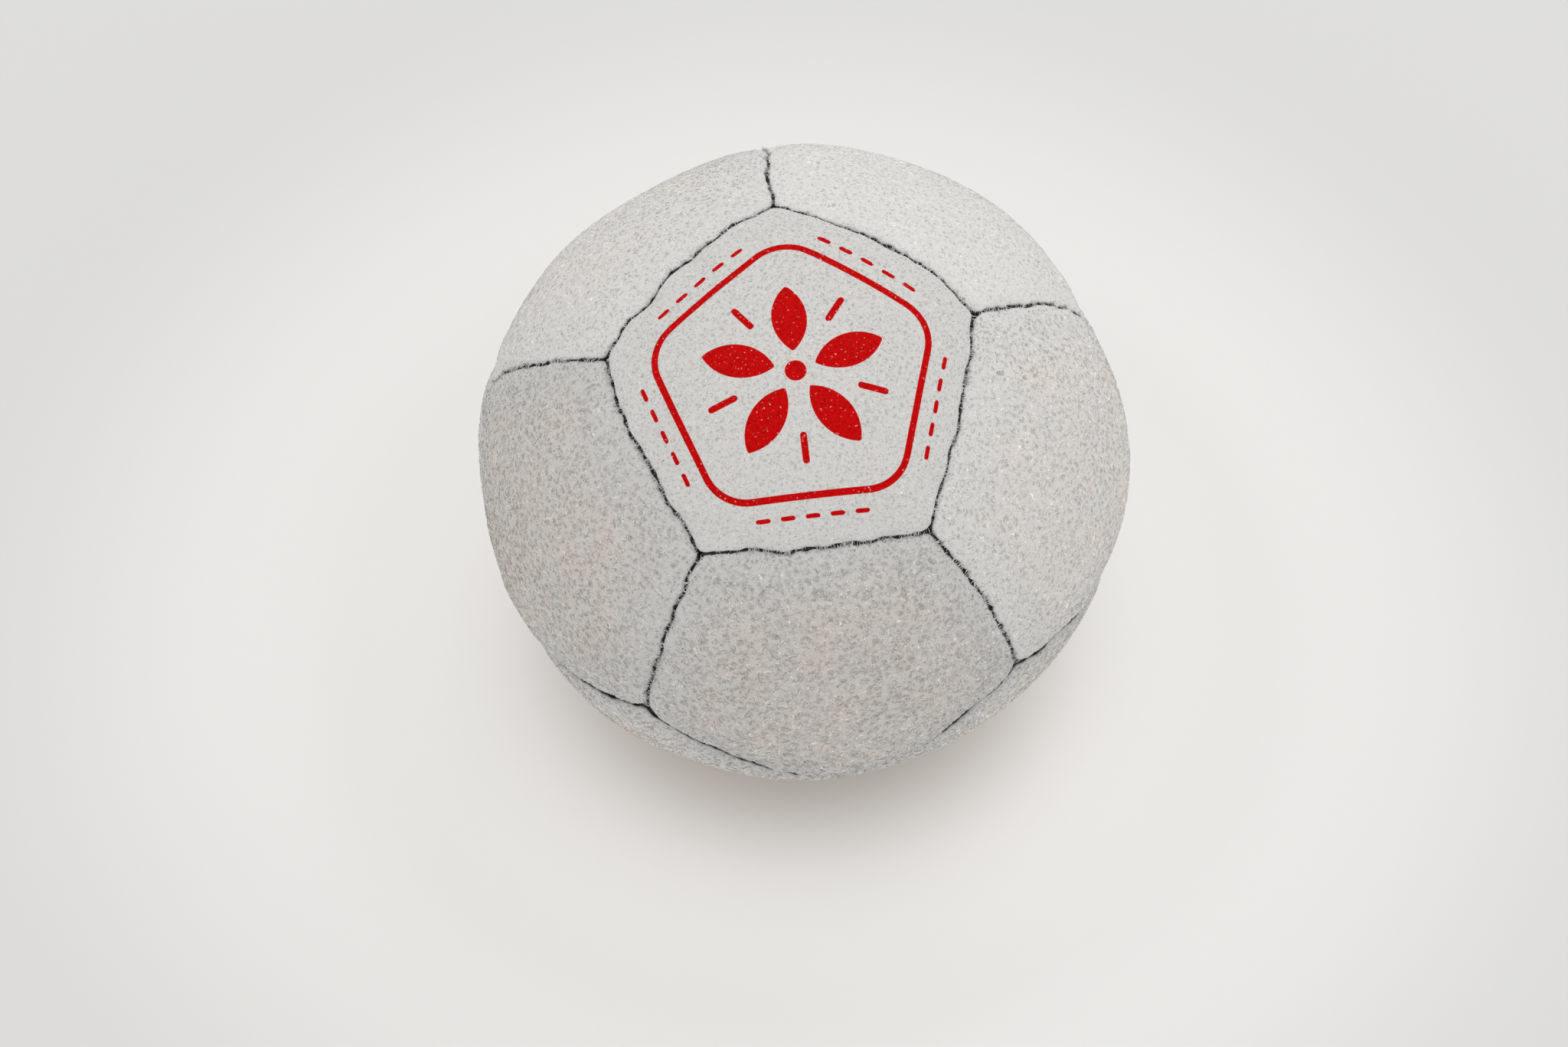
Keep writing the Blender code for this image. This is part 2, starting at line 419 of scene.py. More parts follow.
half_width = BALL_RADIUS * math.tan(FACE_TO_EDGE - SEAM_GAP / BALL_RADIUS)
bpy.ops.object.select_all(action="DESELECT")
bpy.ops.mesh.primitive_circle_add(
    vertices=SIDES,
    radius=half_width / math.cos(SECTOR / 2),
    fill_type="TRIFAN",
    location=(0, 0, BALL_RADIUS),
)
model = bpy.context.object
model.name = "model_panel"
bpy.ops.object.transform_apply(location=True, rotation=False, scale=False)
bpy.ops.object.mode_set(mode="EDIT")
bpy.ops.mesh.select_all(action="SELECT")
bpy.ops.mesh.subdivide(number_cuts=RIM_CUTS)
bpy.ops.object.mode_set(mode="OBJECT")
apply_modifier(model, "CAST", factor=1.0, use_radius_as_size=False, size=BALL_RADIUS)
print("pentagon blown up:", len(model.data.polygons), "faces")

# %% The turned-in rim and its fold
CORNER_CREASE = 0.45
MITRE_WIDTH = 0.002
FOLD_ZONE = 1.3 * FOLD
FOLD_DEPTH = 2 * FOLD
ALONG_SLOPE = 0.3
OUTSIDE = 0.999 * BALL_RADIUS
TURNED_IN = 0.99 * BALL_RADIUS


def on_mitre(vertex):
    """Whether the vertex lies on a line from the middle to a corner, where two sides of the fold meet."""
    turn = math.atan2(vertex.co.y, vertex.co.x) - CORNER_TURN
    return abs((turn + SECTOR / 2) % SECTOR - SECTOR / 2) < MITRE_WIDTH


def along_fold(edge):
    """Whether the edge runs along a side on the fold, which needs closer points than the rest."""
    first, second = (from_side(v) for v in edge.verts)
    high, low = (v.co.length for v in edge.verts)
    slope = max(abs(first - second), abs(high - low)) / edge.calc_length()
    on_fold = max(first, second) < FOLD_ZONE and min(high, low) > BALL_RADIUS - FOLD_DEPTH
    return on_fold and slope < ALONG_SLOPE


edit_selected(model, lambda edge: edge.is_boundary)
bpy.ops.mesh.extrude_region_move()
tip = (BALL_RADIUS - LEATHER - SEAM_ALLOWANCE) / BALL_RADIUS
bpy.ops.transform.resize(value=(tip, tip, tip), center_override=(0, 0, 0))
bpy.ops.object.mode_set(mode="OBJECT")
edit_selected(
    model,
    lambda edge: min(v.co.length for v in edge.verts) > OUTSIDE
    and any(min(v.co.length for v in face.verts) < TURNED_IN for face in edge.link_faces),
)
bpy.ops.mesh.bevel(offset=FOLD, segments=3, affect="EDGES")
bpy.ops.object.mode_set(mode="OBJECT")
edit_selected(model, lambda edge: all(from_corner_way(v) < FOLD_DEPTH and on_mitre(v) for v in edge.verts))
bpy.ops.transform.edge_crease(value=CORNER_CREASE)
bpy.ops.object.mode_set(mode="OBJECT")
apply_modifier(model, "SUBSURF", levels=2, render_levels=2)
edit_selected(model, along_fold)
bpy.ops.mesh.subdivide(number_cuts=3)
bpy.ops.object.mode_set(mode="OBJECT")
print("panel with its fold:", len(model.data.polygons), "faces")

# %% The back of the leather


def extrude_rim(scale, lift):
    """Extrudes the selected rim, scales it about the ball's centre and moves it along Z."""
    bpy.ops.mesh.extrude_region_move()
    bpy.ops.transform.resize(value=scale, center_override=(0, 0, 0))
    bpy.ops.transform.translate(value=(0, 0, lift))


inner_radius = BALL_RADIUS - LEATHER
rim_width = half_width * tip
inset = (rim_width - LEATHER / math.cos(FACE_TO_EDGE)) / rim_width
back = inner_radius / (BALL_RADIUS * tip)
edit_selected(model, lambda edge: edge.is_boundary)
extrude_rim((inset, inset, 1), 0)
extrude_rim((back, back, back), 0)
rim_height = max(v.co.z for v in bmesh.from_edit_mesh(model.data).verts if v.select)
ring_height = inner_radius * math.cos(FACE_TO_EDGE / 2)
extrude_rim((0.5, 0.5, 1), ring_height - rim_height)
bpy.ops.mesh.extrude_region_move()
bpy.ops.mesh.merge(type="CENTER")
bpy.ops.transform.translate(value=(0, 0, inner_radius - ring_height))
bpy.ops.mesh.select_all(action="SELECT")
bpy.ops.mesh.normals_make_consistent(inside=False)
bpy.ops.object.mode_set(mode="OBJECT")
bpy.ops.object.shade_smooth()
crown = max(vertex.co.z for vertex in model.data.vertices)
print("closed panel:", len(model.data.polygons), "faces, crown at mm", round(crown / MM, 2))

# %% [markdown]
# ## What the stitches do to the edges
#
# Each side is sewn with fifteen stitches. At every needle hole the thread pulls the fold down and
# shut, and between two holes the edge stands a little open, so a seam looks like a row of small scallops.
# At the corners three folds meet and leave a small pit. These marks are a formula of two measures: how
# far a point is from the nearest side, and how far along that side it is. Both are taken on the ball, so
# the same formula fits all five sides.

# %% Measures along the sides of the panel
def unit_rows(rows):
    """Each row divided by its length."""
    return rows / np.linalg.norm(rows, axis=1, keepdims=True)


def read_points(mesh):
    """The mesh's vertices as rows of x, y and z."""
    flat = np.empty(len(mesh.vertices) * 3)
    mesh.vertices.foreach_get("co", flat)
    return flat.reshape(-1, 3)


def write_points(mesh, points):
    """Moves the mesh's vertices to these rows of x, y and z."""
    mesh.vertices.foreach_set("co", points.ravel())
    mesh.update()


def store(mesh, name, values):
    """Keeps one number for each vertex under this name, for the materials to read."""
    kept = mesh.attributes.get(name) or mesh.attributes.new(name, "FLOAT", "POINT")
    kept.data.foreach_set("value", np.ascontiguousarray(values, np.float32))


def fetch(mesh, name):
    """The numbers kept for the vertices under this name."""
    values = np.empty(len(mesh.vertices), np.float32)
    mesh.attributes[name].data.foreach_get("value", values)
    return values


points = read_points(model.data)
outward = unit_rows(points)
insets = np.arcsin(outward @ side_inwards.T) * BALL_RADIUS
nearest = insets.argmin(axis=1)
from_seam = insets.min(axis=1)
tangent_part = (outward * side_tangents[nearest]).sum(axis=1)
middle_part = (outward * side_middles[nearest]).sum(axis=1)
along_seam = np.arctan2(tangent_part, middle_part) * BALL_RADIUS
depth = BALL_RADIUS - np.linalg.norm(points, axis=1)
from_corner = np.arccos(np.clip((outward @ corner_ways.T).max(axis=1), -1, 1)) * BALL_RADIUS
print("side length in mm:", round(2 * HALF_EDGE * BALL_RADIUS / MM, 1))
print("deepest point in mm:", round(depth.max() / MM, 2))

# %% Scallops, crowned edges and corner pits
STITCHES_PER_SIDE = 15
stitch_length = 2 * HALF_EDGE * BALL_RADIUS / STITCHES_PER_SIDE
SCALLOP_OPENS = 0.17 * MM
SCALLOP_REACH = 0.8 * MM
STITCH_PULLS = 0.16 * MM
PULL_REACH = 1.1 * MM
EDGE_DROP = 0.6 * MM
EDGE_REACH = 3.5 * MM
PIT_DEPTH = 0.3 * MM
PIT_OPENS = 0.05 * MM
PIT_REACH = 1.0 * MM
WAVER_REACH = 3.0 * MM

near_seam = np.maximum(from_seam, 0)


def fading(reach):
    """For each vertex of a panel, 1 at the seam and less the further it is from there."""
    return np.exp(-near_seam / reach)


standing_open = 0.5 - 0.5 * np.cos(math.tau * along_seam / stitch_length)
pit = np.exp(-((from_corner / PIT_REACH) ** 2))
sideways = SCALLOP_OPENS * standing_open * fading(SCALLOP_REACH)
down = STITCH_PULLS * (1 - standing_open) * fading(PULL_REACH)
down += EDGE_DROP * fading(EDGE_REACH) + PIT_DEPTH * pit
to_middle = unit_rows(UP - outward * outward[:, 2:] + 1e-9)
shaped = points + side_inwards[nearest] * sideways[:, None] - outward * down[:, None]
shaped += to_middle * (PIT_OPENS * pit)[:, None]
write_points(model.data, shaped)
store(model.data, "seam_mm", from_seam / MM)
store(model.data, "depth_and_shade_mm", depth / MM)
edge_weights = model.vertex_groups.new(name="near_seam")
for vertex, weight in enumerate(fading(WAVER_REACH)):
    edge_weights.add((vertex,), float(weight), "REPLACE")
print("stitch length in mm:", round(stitch_length / MM, 2))

# %% [markdown]
# ## Twelve panels
#
# Loose granulate never fills a cover evenly, and hand-guided seams never run quite straight. Two Displace
# modifiers with soft cloud textures push the panels about in space: broad, low lumps, and a finer
# waver. They read the place on the ball, so two neighbours move together and their seam stays shut.
# The lumps' texture is read well away from the ball, at a spot where its lumps suit the outline. The last
# step settles the panel as the solids were settled.

# %% Lumps and waver
LUMP_SIZE = 26 * MM
LUMP_PUSH = 2.34 * MM
LUMP_SHIFT = Vector((356.6, -69.3, -413.1)) * MM
WAVER_SIZE = 4.5 * MM
WAVER_PUSH = 1.3 * MM


def soft_cloud(name, size):
    """A cloud texture with features of this size, in three independent channels."""
    cloud = bpy.data.textures.new(name, "CLOUDS")
    cloud.cloud_type = "COLOR"
    cloud.noise_basis = "IMPROVED_PERLIN"
    cloud.noise_scale = size
    cloud.noise_depth = 0
    return cloud


lumps = soft_cloud("lumps", LUMP_SIZE)
waver = soft_cloud("waver", WAVER_SIZE)


def lay_on_ball(piece, waver_group):
    """Gives a piece of the round ball its lumps, and its waver in this group, and settles it."""
    plans = ((lumps, LUMP_PUSH, "", LUMP_SHIFT), (waver, WAVER_PUSH, waver_group, Vector()))
    for cloud, push, group, shift in plans:
        piece.data.transform(Matrix.Translation(shift))
        apply_modifier(
            piece,
            "DISPLACE",
            texture=cloud,
            texture_coords="LOCAL",
            direction="RGB_TO_XYZ",
            mid_level=0.5,
            strength=push,
            vertex_group=group,
        )
        piece.data.transform(Matrix.Translation(-shift))
    settled = settle(read_points(piece.data))
    settled[:, 2] = np.maximum(settled[:, 2], 0)
    write_points(piece.data, settled)


print("lumps and waver, furthest push in mm:", LUMP_PUSH / 2 / MM, WAVER_PUSH / 2 / MM)

# %% [markdown]
# ## No two panels alike
#
# The panels are cut from different parts of the hide, so each has a tone, a coolness and a coarseness of
# its own. The tones and coolness also carry painted light: the panels at the back and on the right, towards
# the lamps, are painted lighter and cooler, and those at the front and on the left darker and warmer, as in
# shade. Their folded edges are never quite straight: a fine noise frays them. Where an upper panel meets a
# lower one the slumped ball sags, and at the front these seams gape. The edge of the lower panel hangs back
# there and sinks, and shade is painted on it, as extra depth, which the groove's near-black reads, and as
# less tone.

# %% Tone and coolness, partly painted light, and size of the nap for each panel
# Tone and coolness are partly the hide's own and partly painted light: lighter and cooler at the back and
# right, darker and warmer at the front and left.
PANEL_LOOKS_AND_PAINTED_LIGHT = dict.fromkeys(axes, (0.77, 0.0, 1.0))
PANEL_LOOKS_AND_PAINTED_LIGHT |= {"panel_print": (0.765, 0.1, 1.0), "panel_upper_1": (0.685, 0.0, 1.0)}
PANEL_LOOKS_AND_PAINTED_LIGHT |= {"panel_upper_2": (0.795, 0.25, 0.8), "panel_upper_3": (0.85, 0.8, 0.55)}
PANEL_LOOKS_AND_PAINTED_LIGHT |= {"panel_upper_4": (0.81, 0.45, 0.65), "panel_upper_5": (0.69, 0.0, 0.9)}
print("different looks:", len(set(PANEL_LOOKS_AND_PAINTED_LIGHT.values())))

# %% Frayed edges and gaping seams
RAGGED_SIZE = 1.2 * MM
RAGGED_PUSH = 0.2 * MM
RAGGED_REACH = 0.8 * MM
RAGGED_LIMIT = 3 * RAGGED_REACH
NOISE_APART = 100
BACK_SAG = 0.25
GAPE = 0.45 * MM
GAPE_REACH = 1.0 * MM
GAPE_SINK = 0.5 * MM
SINK_REACH = 2.0 * MM
# How much painted shade the sunken edge of a gaping seam gets, as depth and as tone, and how far it reaches.
GAPE_PAINTED_SHADE_MM = 0.6
DARK_REACH = 0.75 * MM
SHADED = 0.35
SHADE_REACH = 1.6 * MM


def sagging_sides(name):
    """How far each side of a panel sags: only where an upper panel meets a lower one, most at the front."""
    row = name.split("_")[1]
    next_middles = math.cos(FACE_TO_FACE) * UP + math.sin(FACE_TO_FACE) * side_ways
    ways = [turns[name] @ Vector(middle) for middle in next_middles]
    beside = [max(axes, key=lambda other: axes[other].dot(way)).split("_")[1] for way in ways]
    sags = np.array([{row, other} == {"upper", "lower"} for other in beside])
    at_front = np.array([(turns[name] @ Vector(middle)).y < 0 for middle in side_middles])
    return sags * np.where(at_front, 1.0, BACK_SAG)


def fray_edges(panel, name, number):
    """Opens the sagging seams of a panel, paints shade on their sunken edges, and frays its folded edge by a
    fine noise of its own.
    """
    moved = read_points(panel.data)
    ways = side_inwards[nearest] @ np.array(turns[name]).T
    hangs = sagging_sides(name)[nearest] * ("lower" in name)
    moved += ways * (GAPE * hangs * fading(GAPE_REACH))[:, None]
    moved -= unit_rows(moved) * (GAPE_SINK * hangs * fading(SINK_REACH))[:, None]
    # Painted shade on the sunken edge: extra depth, so the groove's painted near-black spreads onto it, and
    # less tone, which its fibres take up too.
    store(panel.data, "depth_and_shade_mm", depth / MM + GAPE_PAINTED_SHADE_MM * hangs * fading(DARK_REACH))
    store(panel.data, "tone", PANEL_LOOKS_AND_PAINTED_LIGHT[name][0] * (1 - SHADED * hangs * fading(SHADE_REACH)))
    push = RAGGED_PUSH * fading(RAGGED_REACH)
    for vertex in np.flatnonzero(near_seam < RAGGED_LIMIT):
        place = Vector(moved[vertex]) / RAGGED_SIZE
        place.x += NOISE_APART * number
        moved[vertex] += ways[vertex] * push[vertex] * noise.noise(place)
    write_points(panel.data, moved)


print("panels with sagging seams:", sum(sagging_sides(name).any() for name in axes))

# %% [markdown]
# ## The print
#
# The print is one colour of ink pressed onto the finest, flattest panel. It is drawn as a distance: for
# every point of the panel, how far it is to the nearest edge of ink, less than nothing inside it. A
# plain five-part ornament fills the place: a rounded frame, five leaves round a dot, a bar between each
# two leaves, and a row of dashes along each side. The printed panel is then split finely, so that the
# distance, which is kept at its points, gives a clean edge.

# %% Distance to the edge of the ink
FRAME_HALF_WIDTH = 0.48 * MM
FRAME_INRADIUS = 16.5 * MM
FRAME_ROUNDING = 6.0 * MM
LEAF_MIDDLE = 7.6 * MM
LEAF_HALF_LENGTH = 4.9 * MM
LEAF_HALF_WIDTH = 2.3 * MM
DOT_RADIUS = 1.4 * MM
BAR_FROM, BAR_TO, BAR_HALF_WIDTH = 8.2 * MM, 12.4 * MM, 0.45 * MM
DASH_LINE = 19.2 * MM
DASH_SPACING = 3.3 * MM
DASHES_EACH_WAY = 2
DASH_HALF_LENGTH = 1.0 * MM
DASH_HALF_WIDTH = 0.32 * MM
BARE_RIM_MM = 2.0


def bar_distance(along, across, half_length, half_width):
    """Distance to a bar with round ends, from its middle."""
    return np.hypot(np.maximum(np.abs(along) - half_length, 0), across) - half_width


def ink_distance(outward):
    """Distance in metres to the nearest edge of ink, for directions round +Z."""
    reach = np.arccos(np.clip(outward[:, 2], -1, 1)) * BALL_RADIUS
    turn = np.arctan2(outward[:, 1], outward[:, 0])
    to_side = (turn - EDGE_TURN + SECTOR / 2) % SECTOR - SECTOR / 2
    to_corner = (turn - CORNER_TURN + SECTOR / 2) % SECTOR - SECTOR / 2
    side_out, side_along = reach * np.cos(to_side), reach * np.sin(to_side)
    leaf_out, leaf_across = reach * np.cos(to_corner), np.abs(reach * np.sin(to_corner))
    core = FRAME_INRADIUS - FRAME_ROUNDING
    past_corner = np.maximum(np.abs(side_along) - core * math.tan(SECTOR / 2), 0)
    frame_edge = np.where(past_corner > 0, np.hypot(side_out - core, past_corner), side_out - core)
    ring = np.abs(frame_edge - FRAME_ROUNDING) - FRAME_HALF_WIDTH
    bow = (LEAF_HALF_LENGTH**2 + LEAF_HALF_WIDTH**2) / (2 * LEAF_HALF_WIDTH)
    leaf = np.hypot(leaf_out - LEAF_MIDDLE, leaf_across + bow - LEAF_HALF_WIDTH) - bow
    dot = reach - DOT_RADIUS
    bar = bar_distance(
        side_out - (BAR_FROM + BAR_TO) / 2,
        side_along,
        (BAR_TO - BAR_FROM) / 2 - BAR_HALF_WIDTH,
        BAR_HALF_WIDTH,
    )
    nearest_dash = np.clip(np.round(side_along / DASH_SPACING), -DASHES_EACH_WAY, DASHES_EACH_WAY)
    dash = bar_distance(
        side_along - nearest_dash * DASH_SPACING,
        side_out - DASH_LINE,
        DASH_HALF_LENGTH - DASH_HALF_WIDTH,
        DASH_HALF_WIDTH,
    )
    return np.minimum.reduce([ring, leaf, dot, bar, dash])


def ball_ways(points, name):
    """The directions of settled points on the ball, in the frame of the model panel."""
    return unit_rows((points - ball_centre) / (WIDER, WIDER, LOWER)) @ np.array(turns[name])


def draw_print(panel):
    """Splits the open part of the printed panel finely enough for the ink, and keeps the distance to it."""
    inside = fetch(panel.data, "seam_mm") > BARE_RIM_MM
    edit_selected(panel, lambda edge: all(inside[v.index] for v in edge.verts))
    bpy.ops.mesh.subdivide(number_cuts=2)
    bpy.ops.object.mode_set(mode="OBJECT")
    edge_of_ink = ink_distance(ball_ways(read_points(panel.data), "panel_print")) / MM
    store(panel.data, "ink_mm", edge_of_ink)
    print("ink covers", round(float((edge_of_ink < 0).mean()) * 100), "percent of the panel's points")


# %% Copy, turn, shape and settle the panels
def copy_of(source, name):
    """A copy with its own mesh, under this name."""
    twin = source.copy()
    twin.data = source.data.copy()
    twin.name = name
    bpy.context.collection.objects.link(twin)
    return twin


panels = {}
for number, (name, turn) in enumerate(turns.items()):
    panel = copy_of(model, f"suede_{name}")
    panel.data.transform(turn.to_4x4())
    fray_edges(panel, name, number)
    lay_on_ball(panel, "near_seam")
    printed = name == "panel_print"
    if printed:
        draw_print(panel)
    store(panel.data, "cool", np.full(len(panel.data.vertices), PANEL_LOOKS_AND_PAINTED_LIGHT[name][1]))
    panel.data.materials.append(hide_printed if printed else hide_plain)
    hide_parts(name)
    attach(panel, "root")
    panels[name] = panel
bpy.data.objects.remove(model)
print("panels:", len(panels), "with", len(panels["panel_base"].data.polygons), "faces each")

# %% [markdown]
# ## The stitching
#
# What shows of the sewing is a dark thread at the bottom of the groove, thick at each stitch and pinched
# between. A cylinder is laid along X, cut across many times, and each ring is set to its width and
# carried out to the arc of the seam. Waxed polyester looks nearly black and barely shines, and its twist
# gives it a little grey fuzz.

# %% Thread material
THREAD_CHARCOAL = "#121113"
THREAD_FUZZ = "#242226"
FUZZ_SIZE = 0.25 * MM
thread_twist, tree, shader = new_material("waxed_polyester_thread")
place = add_node(tree, "ShaderNodeTexCoord", {}, {}).outputs["Object"]
fuzz = add_node(
    tree, "ShaderNodeTexNoise", {}, {"Vector": place, "Scale": 1 / FUZZ_SIZE, "Detail": 2.0}
).outputs["Fac"]
thread_colour = add_node(
    tree,
    "ShaderNodeMix",
    {"data_type": "RGBA"},
    {"Factor": fuzz, 6: linear(THREAD_CHARCOAL), 7: linear(THREAD_FUZZ)},
).outputs[2]
tree.links.new(thread_colour, shader.inputs["Base Color"])
shader.inputs["Roughness"].default_value = 0.8
print("thread material:", thread_twist.name)

# %% One thread, then thirty
THREAD_RADIUS = 0.2 * MM
THREAD_SIDES = 6
THREAD_SINK = 1.15 * MM
CUTS_PER_STITCH = 5
THREAD_ENDS_SHORT = 0.3 * MM
PINCH = 0.25
half_thread = HALF_EDGE * BALL_RADIUS - THREAD_ENDS_SHORT
bpy.ops.object.select_all(action="DESELECT")
bpy.ops.mesh.primitive_cylinder_add(
    vertices=THREAD_SIDES, radius=THREAD_RADIUS, depth=2 * half_thread, rotation=(0, math.radians(90), 0)
)
model_thread = bpy.context.object
bpy.ops.object.transform_apply(location=False, rotation=True, scale=False)
edit_selected(model_thread, lambda edge: abs(edge.verts[0].co.x - edge.verts[1].co.x) > half_thread)
bpy.ops.mesh.subdivide(number_cuts=STITCHES_PER_SIDE * CUTS_PER_STITCH - 1)
bpy.ops.object.mode_set(mode="OBJECT")
bpy.ops.object.shade_smooth()
points = read_points(model_thread.data)
bulge = 1 - PINCH + PINCH * np.cos(math.tau * points[:, 0] / stitch_length)
across = points[:, 1] * bulge
height = BALL_RADIUS - THREAD_SINK + points[:, 2] * bulge
turn = points[:, 0] / BALL_RADIUS
write_points(model_thread.data, np.column_stack((height * np.sin(turn), across, height * np.cos(turn))))
model_thread.data.materials.append(thread_twist)

ROW_OF = {("print", "upper"): "print_{}", ("upper", "upper"): "upper_{}"}
ROW_OF |= {("upper", "lower"): "middle_{:02d}", ("lower", "lower"): "lower_{}", ("lower", "base"): "base_{}"}
counts = dict.fromkeys(ROW_OF, 0)
threads = []
for first, second in seams:
    row = (first.split("_")[1], second.split("_")[1])
    counts[row] += 1
    node = "seam_" + ROW_OF[row].format(counts[row])
    middle = (axes[first] + axes[second]).normalized()
    along = axes[first].cross(axes[second]).normalized()
    thread = copy_of(model_thread, f"thread_{node}")
    thread.data.transform(Matrix((along, middle.cross(along), middle)).transposed().to_4x4())
    lay_on_ball(thread, "")
    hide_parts(node)
    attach(thread, "root")
    threads.append(thread)
bpy.data.objects.remove(model_thread)
print("threads:", len(threads), "rows:", list(counts.values()))

# %% [markdown]
# ## The nap
#
# The nap is what makes suede look like suede: countless short fibres, brushed flat in all directions and
# drawn together in small tufts. Real ones are a few hundredths of a millimetre thick, too fine to show, so
# each strand here stands for a lock of them. Blender's hair would not survive as a mesh, so a strand is a
# closed body of four triangles. Its root is a wide edge sunk in the hide and its tip an upright one, so it
# lies like a small ridge and leaves no dark hollow under it. Its crest is a painted highlight and its root
# is painted shade. Each strand and each tuft differs a little in tone. Along the seams the nap gets shorter,
# and some fibres bridge the groove.
# The printed panel was sanded finer, and its nap is much shorter.

# %% Points on a panel
NAP_DEPTH_MM = 0.32


def scatter(mesh, count, rng):
    """Random points on the outer side of a panel: place, normal, distance to the seam, and tone."""
    mesh.calc_loop_triangles()
    corners = np.empty(len(mesh.loop_triangles) * 3, np.int32)
    mesh.loop_triangles.foreach_get("vertices", corners)
    corners = corners.reshape(-1, 3)
    corners = corners[(fetch(mesh, "depth_and_shade_mm")[corners] < NAP_DEPTH_MM).all(axis=1)]
    points = read_points(mesh)
    normals = np.empty(len(mesh.vertices) * 3, np.float32)
    mesh.vertex_normals.foreach_get("vector", normals)
    normals = normals.reshape(-1, 3)
    a, b, c = (points[corners[:, i]] for i in range(3))
    areas = np.linalg.norm(np.cross(b - a, c - a), axis=1)
    chosen = corners[rng.choice(len(corners), count, p=areas / areas.sum())]
    weights = rng.dirichlet((1, 1, 1), count)[:, :, None]
    seam = (fetch(mesh, "seam_mm")[chosen] * weights[:, :, 0]).sum(axis=1)
    tone = (fetch(mesh, "tone")[chosen] * weights[:, :, 0]).sum(axis=1)
    place = (points[chosen] * weights).sum(axis=1)
    return place, unit_rows((normals[chosen] * weights).sum(axis=1)), seam, tone


# %% Strands as closed bodies
TIP_TWIST = math.radians(75)
TIP_WIDTH = 0.8
ROOT_SINK = 0.6


def strands(name, root, tip, normal, width):
    """A mesh with one closed four-faced strand from each root to each tip, twisted along its length."""
    side = unit_rows(np.cross(normal, tip - root)) * width[:, None] / 2
    lift = normal * width[:, None] / 2
    low = root - lift * ROOT_SINK
    end = (side * math.cos(TIP_TWIST) + lift * math.sin(TIP_TWIST)) * TIP_WIDTH
    corners = np.stack((low - side, low + side, tip - end, tip + end), axis=1)
    faces = np.array(((0, 1, 2), (0, 3, 1), (0, 2, 3), (1, 3, 2)))
    count = len(root)
    loops = (np.arange(count)[:, None, None] * 4 + faces).ravel()
    mesh = bpy.data.meshes.new(name)
    mesh.vertices.add(count * 4)
    mesh.vertices.foreach_set("co", corners.ravel())
    mesh.loops.add(len(loops))
    mesh.loops.foreach_set("vertex_index", loops)
    mesh.polygons.add(count * 4)
    mesh.polygons.foreach_set("loop_start", np.arange(0, len(loops), 3))
    mesh.update(calc_edges=True)
    mesh.shade_flat()
    return mesh, loops


# %% Combing and tufting
FIBRE_LENGTH = (0.4 * MM, 0.95 * MM)
PRINT_FIBRE_LENGTH = (0.22 * MM, 0.42 * MM)
LEAN_RANGE = (math.radians(86), math.radians(92))
SWIRL_SIZE = 13 * MM
SWIRL_SEED = 1
STRAY = 1.5
SHORTEST_AT_SEAM = 0.3
FULL_LENGTH_MM = 3.5
SAG_NAP_MM = 1.0
SAG_COMB = 6
SAG_SHORTENS = 0.6
TUFT_OF = 5
TUFT_DRAW = 0.6
# Without a seed, noise_vector starts from the time of day and the swirls differ from run to run.
noise.seed_set(SWIRL_SEED)


def beside_seam(name, root):
    """For each root, the way out over the nearest side of its panel, and how far that side sags."""
    side = (ball_ways(root, name) @ side_inwards.T).argmin(axis=1)
    return -side_inwards[side] @ np.array(turns[name]).T, sagging_sides(name)[side]


def comb(name, root, normal, seam, across, sag, rng):
    """Lays the fibres down in tufts: their tips, and the fibre that leads each one's tuft."""
    count = len(root)
    shortest, longest = PRINT_FIBRE_LENGTH if name == "panel_print" else FIBRE_LENGTH
    swirl = np.array([noise.noise_vector(Vector(row) / SWIRL_SIZE) for row in root])
    swirl = unit_rows(swirl) + rng.normal(0, STRAY, (count, 3))
    sags = sag * np.exp(-seam / SAG_NAP_MM)
    swirl -= across * SAG_COMB * sags[:, None]
    lie = unit_rows(swirl - normal * (swirl * normal).sum(axis=1, keepdims=True))
    lean = rng.uniform(*LEAN_RANGE, count)[:, None]
    grown = np.clip(SHORTEST_AT_SEAM + (1 - SHORTEST_AT_SEAM) * seam / FULL_LENGTH_MM, SHORTEST_AT_SEAM, 1)
    long = rng.uniform(shortest, longest, count) * grown * (1 - SAG_SHORTENS * sags)
    long *= PANEL_LOOKS_AND_PAINTED_LIGHT[name][2]
    tip = root + (lie * np.sin(lean) + normal * np.cos(lean)) * long[:, None]
    leaders = np.arange(0, count, TUFT_OF)
    tree = kdtree.KDTree(len(leaders))
    for number, leader in enumerate(leaders):
        tree.insert(root[leader], number)
    tree.balance()
    leader_of = leaders[[tree.find(row)[1] for row in root]]
    tip += (tip[leader_of] - tip) * TUFT_DRAW
    return tip, leader_of


# %% Fibres that bridge a seam
BRIDGE_ZONE_MM = 0.6
BRIDGE_SPACING = 0.8 * MM
BRIDGE_LEVEL = 0.12
BRIDGE_LENGTH = (0.4 * MM, 1.0 * MM)
BRIDGE_LIFT = 0.15
BRIDGE_STRAY = 0.45
LOOSE_SHARE = 0.35
LOOSE_LENGTH = 0.4


